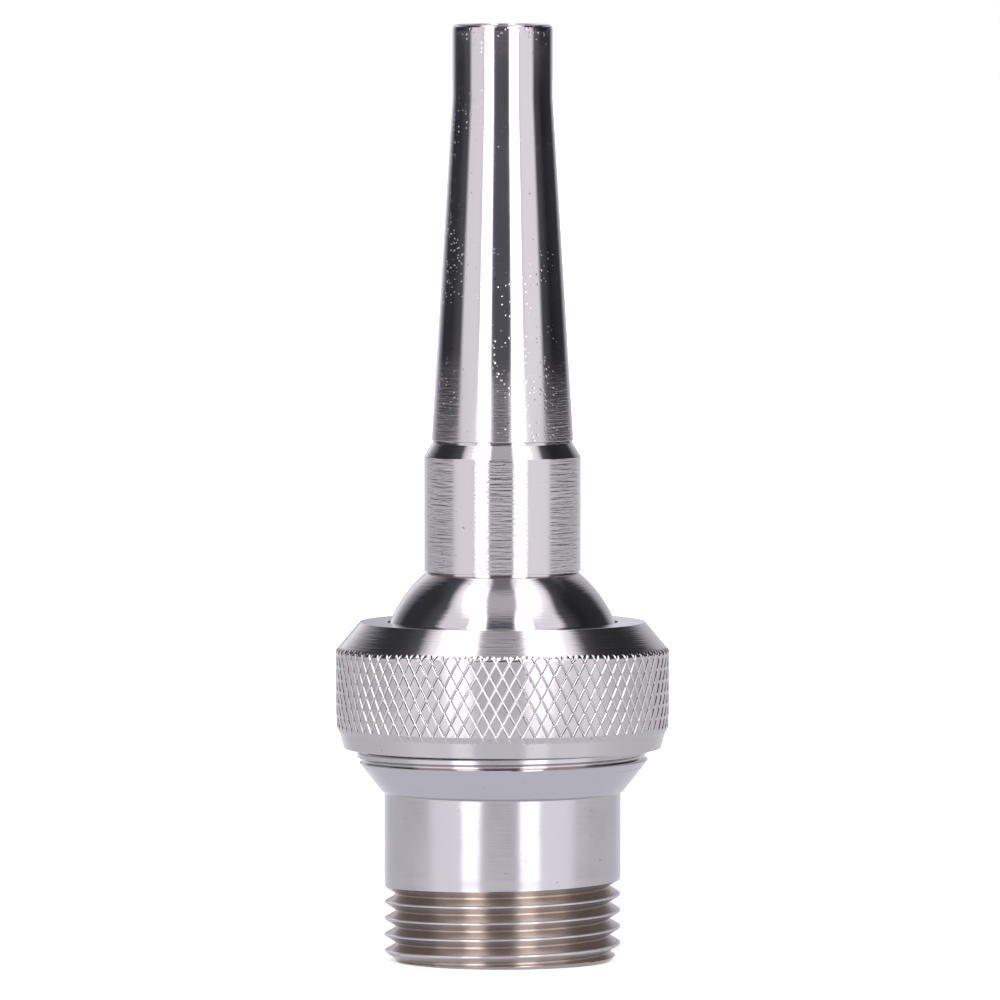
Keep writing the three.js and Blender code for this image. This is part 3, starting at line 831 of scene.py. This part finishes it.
# Tints as red, green and blue: the tent's cloth, its black flags and the table
COOL = (1.0, 1.01, 1.13)
COLD = (1.0, 1.03, 1.3)
TABLE = (0.97, 1.01, 1.17)
TABLE_LEVEL = 0.71
BRIGHTEST = 4.0  # level of the two strips of light


def light_ring(tree, around, left, right):
    """Light round the tent. left and right list (degrees from the lens, level)."""
    made = node(tree, "ShaderNodeValToRGB", {"Fac": around})
    elements = made.color_ramp.elements
    elements.remove(elements[-1])
    stops = [(0.5 - degrees / 360, level) for degrees, level in reversed(left)]
    stops += [(0.5 + degrees / 360, level) for degrees, level in right]
    for n, (position, level) in enumerate(stops):
        element = elements[0] if n == 0 else elements.new(position)
        element.position = position
        tint = COOL if level > 0.2 else COLD
        element.color = (*[level / BRIGHTEST * t for t in tint], 1)
    return made.outputs[0]


def studio_world():
    """A light tent: a dark front with the lens in it, two bright strips, pale wings, black flags at the
    sides and a white back. Low down is the white table, which mirrors them faintly."""
    world = bpy.data.worlds.new("light_tent")
    bpy.context.scene.world = world
    world.use_nodes = True
    tree = world.node_tree
    tree.nodes.clear()
    smooth = {"interpolation_type": "SMOOTHSTEP"}

    direction = node(tree, "ShaderNodeTexCoord").outputs["Generated"]
    x, y, z = node(tree, "ShaderNodeSeparateXYZ", {0: direction}).outputs
    height = node(tree, "ShaderNodeMath", {0: z}, operation="ABSOLUTE")
    # Towards the zenith the strips run on as two straight bars, so the bearing is taken from further back.
    ramp = {"Value": height, "From Min": 0.68, "From Max": 0.98, "To Min": 0.0, "To Max": 0.36}
    further = node(tree, "ShaderNodeMapRange", ramp, **smooth)
    ahead = node(tree, "ShaderNodeMath", {0: further, 1: y}, operation="SUBTRACT")
    bearing = node(tree, "ShaderNodeMath", {0: x, 1: ahead}, operation="ARCTAN2")
    around = node(tree, "ShaderNodeMath", {0: bearing, 1: 1 / TAU, 2: 0.5}, operation="MULTIPLY_ADD")

    level_ring = light_ring(
        tree,
        around,
        [
            (12, 0.11), (19, 0.17), (22.5, 4.0), (39.5, 4.0), (41.5, 0.86), (48, 1.0), (73.5, 0.98),
            (81, 0.11), (105, 0.04), (131, 0.042), (140, 0.2), (148, 0.42), (157, 0.8), (164, 1.0),
            (172, 0.5),
        ],
        [
            (10, 0.11), (14.5, 0.17), (18, 4.0), (35.5, 4.0), (37.5, 0.84), (43, 1.07), (71, 1.05),
            (78, 0.1), (100, 0.022), (138, 0.04), (143, 0.13), (152, 0.45), (160, 0.57), (180, 0.7),
        ],
    )
    high_ring = light_ring(
        tree,
        around,
        [
            (17, 0.6), (21, 2.6), (50, 2.4), (56, 1.4), (66, 1.2), (76, 0.6), (84, 0.09),
            (130, 0.07), (146, 0.5), (160, 0.85), (175, 1.05),
        ],
        [
            (15, 0.6), (19, 2.6), (48, 2.4), (54, 1.4), (64, 1.2), (73, 0.6), (80, 0.08),
            (118, 0.055), (132, 0.26), (146, 0.5), (160, 0.75), (175, 0.9),
        ],
    )
    table_ring = light_ring(
        tree,
        around,
        [
            (14, 0.78), (21.5, 0.87), (25, 1.42), (38, 1.42), (41, 1.0), (66, 0.98), (78, 0.82),
            (100, 0.7), (130, 0.65), (142, 0.65), (152, 0.7), (162, 0.8), (176, 0.85),
        ],
        [
            (12, 0.78), (16.5, 0.87), (20, 1.42), (34, 1.42), (37, 1.03), (66, 1.0), (78, 0.83),
            (100, 0.71), (130, 0.66), (145, 0.66), (152, 0.7), (162, 0.73), (176, 0.72),
        ],
    )
    ramp = {"Value": height, "From Min": 0.66, "From Max": 0.87, "To Min": 0.0, "To Max": 1.0}
    rising = node(tree, "ShaderNodeMapRange", ramp, **smooth)
    upper = node(tree, "ShaderNodeMix", {0: rising, 6: level_ring, 7: high_ring}, data_type="RGBA")
    ramp = {"Value": height, "From Min": 0.955, "From Max": 0.998, "To Min": 1.0, "To Max": 0.38}
    zenith = node(tree, "ShaderNodeMapRange", ramp, **smooth)
    upper = node(tree, "ShaderNodeVectorMath", {0: upper.outputs[2], "Scale": zenith}, operation="SCALE")

    plain_table = (*[TABLE_LEVEL / BRIGHTEST * t for t in TABLE], 1)
    ramp = {"Value": height, "From Min": 0.1, "From Max": 0.95, "To Min": 0.0, "To Max": 1.0}
    falling = node(tree, "ShaderNodeMapRange", ramp, **smooth)
    lower = node(tree, "ShaderNodeMix", {0: falling, 6: table_ring, 7: plain_table}, data_type="RGBA")

    depth = node(tree, "ShaderNodeMath", {0: z, 1: -1.0}, operation="MULTIPLY")
    ramp = {"Value": depth, "From Min": 0.026, "From Max": 0.042, "To Min": 0.0, "To Max": 1.0}
    edge = node(tree, "ShaderNodeMapRange", ramp, **smooth)
    tent = node(tree, "ShaderNodeMix", {0: edge, 6: upper, 7: lower.outputs[2]}, data_type="RGBA")
    tent = node(tree, "ShaderNodeVectorMath", {0: tent.outputs[2], "Scale": BRIGHTEST}, operation="SCALE")

    # What lies beyond the floor is a plain white backdrop.
    seen = node(tree, "ShaderNodeLightPath").outputs["Is Camera Ray"]
    shown = node(tree, "ShaderNodeMix", {0: seen, 6: tent, 7: (1, 1, 1, 1)}, data_type="RGBA")
    light = node(tree, "ShaderNodeBackground", {"Color": shown.outputs[2], "Strength": 1.0})
    node(tree, "ShaderNodeOutputWorld", {"Surface": light})


def studio_floor():
    """A plain white floor. The tent's own table shows in the steel, so the floor is left out of it."""
    made = bmesh.new()
    bmesh.ops.create_circle(made, cap_ends=True, segments=96, radius=6.0)
    mesh = bpy.data.meshes.new("floor")
    made.to_mesh(mesh)
    made.free()
    floor = bpy.data.objects.new("floor", mesh)
    bpy.context.scene.collection.objects.link(floor)
    floor.visible_glossy = False
    material, tree = new_material("white_floor")
    surface = node(
        tree,
        "ShaderNodeBsdfPrincipled",
        {
            "Base Color": linear("#f2f2f4"),
            "Roughness": 0.9,
            "Emission Color": (1.0, 1.0, 1.0, 1),
            "Emission Strength": 0.5,
        },
    )
    node(tree, "ShaderNodeOutputMaterial", {"Surface": surface})
    mesh.materials.append(material)


def studio_camera():
    """A long lens, a little above the nozzle and nearly level."""
    distance, elevation = 1.759, math.radians(3.11)
    aim = Vector((-0.00035, 0, 0.06496))
    back = Vector((0, -math.cos(elevation), math.sin(elevation)))
    data = bpy.data.cameras.new("camera")
    data.lens = 450
    data.sensor_width = 36
    data.clip_end = 50
    camera = bpy.data.objects.new("camera", data)
    camera.location = aim + back * distance
    camera.rotation_mode = "QUATERNION"
    camera.rotation_quaternion = (-back).to_track_quat("-Z", "Y")
    bpy.context.scene.collection.objects.link(camera)
    bpy.context.scene.camera = camera


# ---------------------------------------------------------------- assembly

studio_world()
studio_floor()
studio_camera()
bpy.context.scene.view_settings.view_transform = "Standard"

ball_steel = fine_turned_stainless()
nut_steel = knurled_stainless()
body_steel = satin_stainless()
vane_steel = sheet_stainless()
clip_steel = spring_stainless()
spout_steel = polished_stainless()
ptfe = skived_ptfe()
rubber = moulded_nbr()
inlet = inlet_body()

# piece, body it rides on, CAD node it replaces, slot, finish
PIECES = [
    (jet_spout(), "ball_and_spout", "jet_spout", "spout_steel", spout_steel),
    (swivel_ball(), "ball_and_spout", "swivel_ball", "ball_steel", ball_steel),
    (knurled_nut(), "nut", "knurled_nut", "nut_steel", nut_steel),
    (inlet, "inlet", "inlet_body", "body_steel", body_steel),
    (ball_seat_ring(), "seat", "ball_seat_ring", "ptfe", ptfe),
    (upper_slip_ring(), "slip_ring", "upper_slip_ring", "ptfe", ptfe),
    (o_ring("seat_seal", "seat_o_ring"), "inlet", "seat_o_ring", "seal_rubber", rubber),
    (o_ring("spout_seal", "spout_o_ring"), "ball_and_spout", "spout_o_ring", "seal_rubber", rubber),
    (vane("vane_a", True, 0), "ball_and_spout", "straightener_vane_a", "vane_steel", vane_steel),
    (vane("vane_b", False, math.pi / 2), "ball_and_spout", "straightener_vane_b", "vane_steel", vane_steel),
    (straightener_clip(), "ball_and_spout", "straightener_clip", "clip_steel", clip_steel),
]
for piece, body, cad_node, slot, finish in PIECES:
    piece.data.materials.append(finish)
    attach(piece, body)
    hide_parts(cad_node)
finish_and_shade_pipe_thread(inlet, cut_thread_steel_painted_shade())
